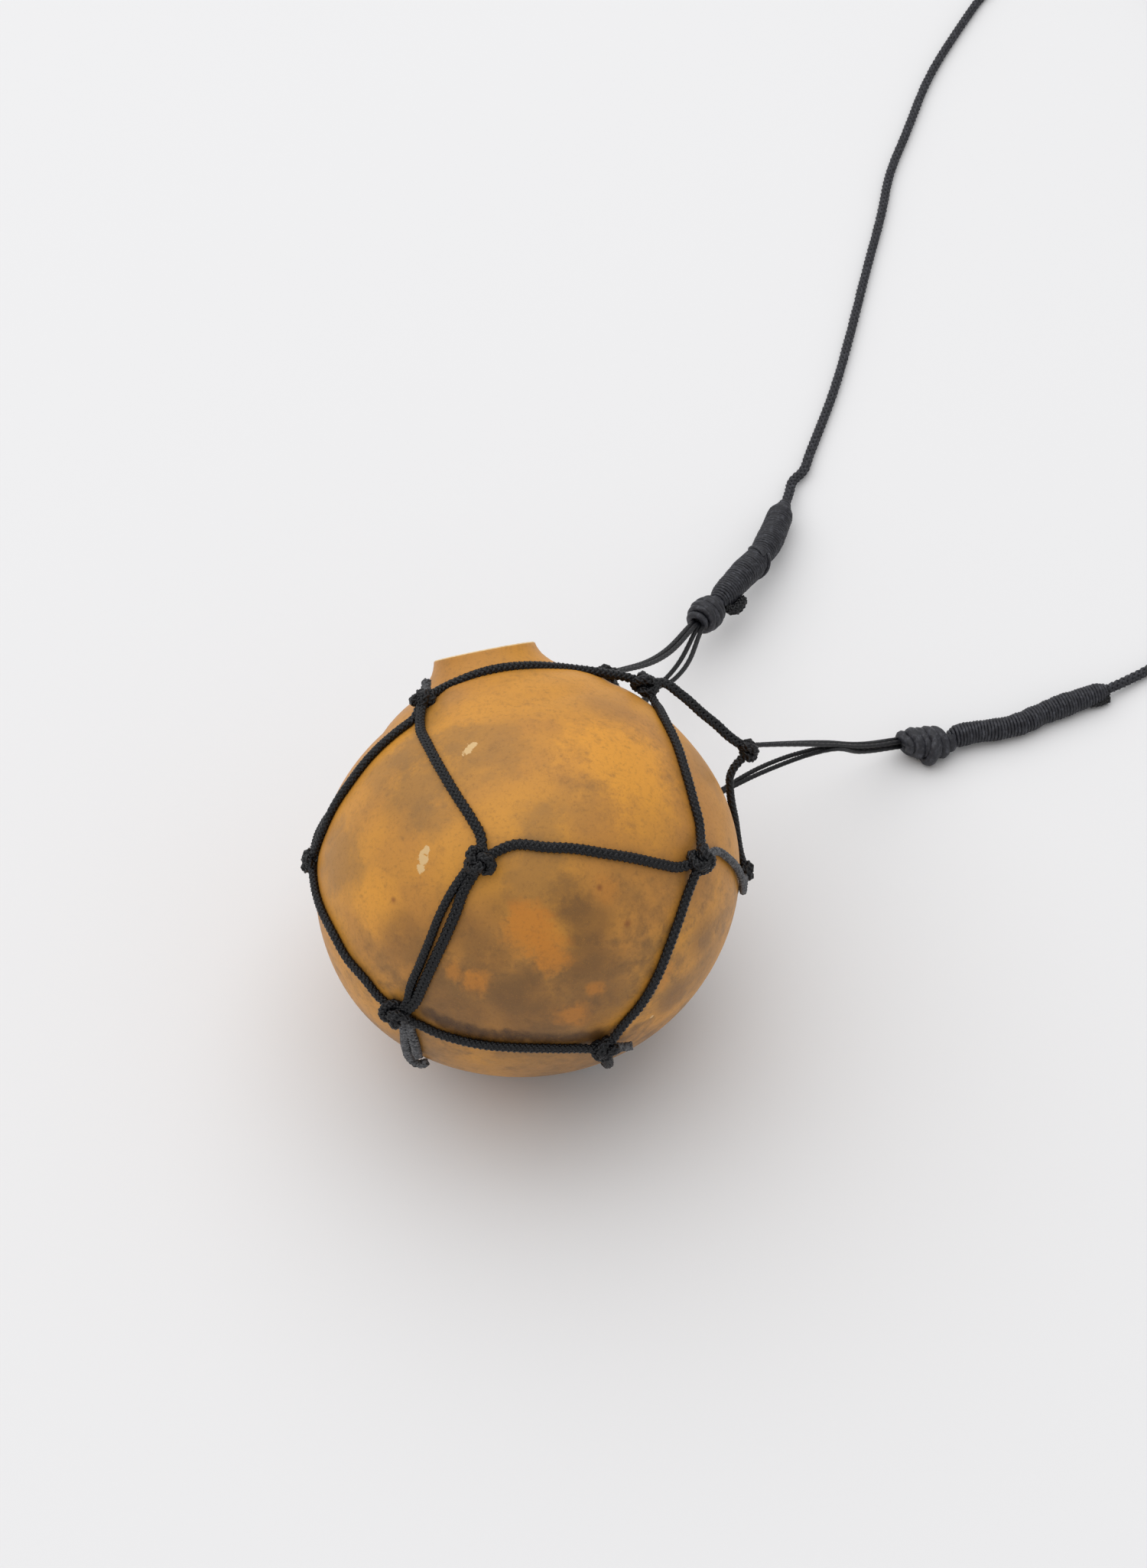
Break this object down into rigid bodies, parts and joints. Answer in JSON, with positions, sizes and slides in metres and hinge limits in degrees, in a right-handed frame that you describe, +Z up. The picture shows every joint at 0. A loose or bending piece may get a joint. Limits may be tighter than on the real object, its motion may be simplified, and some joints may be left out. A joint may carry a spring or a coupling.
{
  "type": "gourd rattle",
  "caption": "Small hollow gourd rattle lying in a knotted net of waxed cord, with a looped neck cord to hang or carry it by.",
  "frame": {"origin": "on the floor, under the middle of the netted gourd", "axes": "+Z up from the floor; +Y away from the gourd's round bottom, towards its mouth; +X towards the looped neck cord"},
  "size_m": [0.1676, 0.2975, 0.0626],
  "materials": {
    "gourd_skin": "polished mottled gourd skin, satin",
    "plug_wood": "plain cut wood, matt",
    "seed": "dry seeds, matt",
    "net_cord": "waxed flat braided cord, satin",
    "wrapping_cord": "waxed cord wound tight, satin",
    "neck_cord": "waxed round braided cord, satin"
  },
  "bodies": {
    "netted_gourd": {"cord_back_left_to_side_left": "net_cord", "cord_back_left_to_under_left": "net_cord", "cord_back_right_to_under_right": "net_cord", "cord_back_upper_to_back_right": "net_cord", "cord_back_upper_to_under_left": "net_cord", "cord_far_right_to_under_right": "net_cord", "cord_front_middle_to_front_right": "net_cord", "cord_front_middle_to_low_left_left": "net_cord", "cord_front_middle_to_low_left_right": "net_cord", "cord_front_right_to_far_right": "net_cord", "cord_front_right_to_low_right": "net_cord", "cord_front_right_to_neck_right": "net_cord", "cord_low_left_to_low_right": "net_cord", "cord_low_right_to_under_front": "net_cord", "cord_neck_back_to_back_left": "net_cord", "cord_neck_back_to_back_upper": "net_cord", "cord_neck_left_to_front_middle": "net_cord", "cord_neck_left_to_neck_right": "net_cord", "cord_neck_left_to_side_left": "net_cord", "cord_neck_right_to_side_right": "net_cord", "cord_side_left_to_low_left": "net_cord", "cord_side_right_to_far_right": "net_cord", "cord_under_left_to_under_front": "net_cord", "cord_under_right_to_under_front": "net_cord", "cut_tails": "net_cord", "gourd_shell": "gourd_skin", "joining_knot_lower": "wrapping_cord", "joining_knot_upper": "wrapping_cord", "knot_back_left": "net_cord", "knot_back_right": "net_cord", "knot_back_upper": "net_cord", "knot_far_right": "net_cord", "knot_front_middle": "net_cord", "knot_front_right": "net_cord", "knot_low_left": "net_cord", "knot_low_right": "net_cord", "knot_neck_back": "net_cord", "knot_neck_left": "net_cord", "knot_neck_right": "net_cord", "knot_side_left": "net_cord", "knot_side_right": "net_cord", "knot_under_front": "net_cord", "knot_under_left": "net_cord", "knot_under_right": "net_cord", "mouth_plug": "plug_wood", "neck_cord": "neck_cord", "strands_back_right": "net_cord", "strands_back_upper": "net_cord", "strands_neck_back": "net_cord", "strands_side_right": "net_cord", "whipping_core_lower": "wrapping_cord", "whipping_core_upper": "wrapping_cord", "whipping_lower": "wrapping_cord", "whipping_upper": "wrapping_cord", "wrapping_ends": "wrapping_cord"},
    "loose_seeds": {"seeds": "seed"}
  },
  "joints": [
    {"name": "seed_rattle", "type": "slide", "parent": "netted_gourd", "child": "loose_seeds", "axis": [0, 0, 1], "range_m": [0, 0.041]}
  ]
}
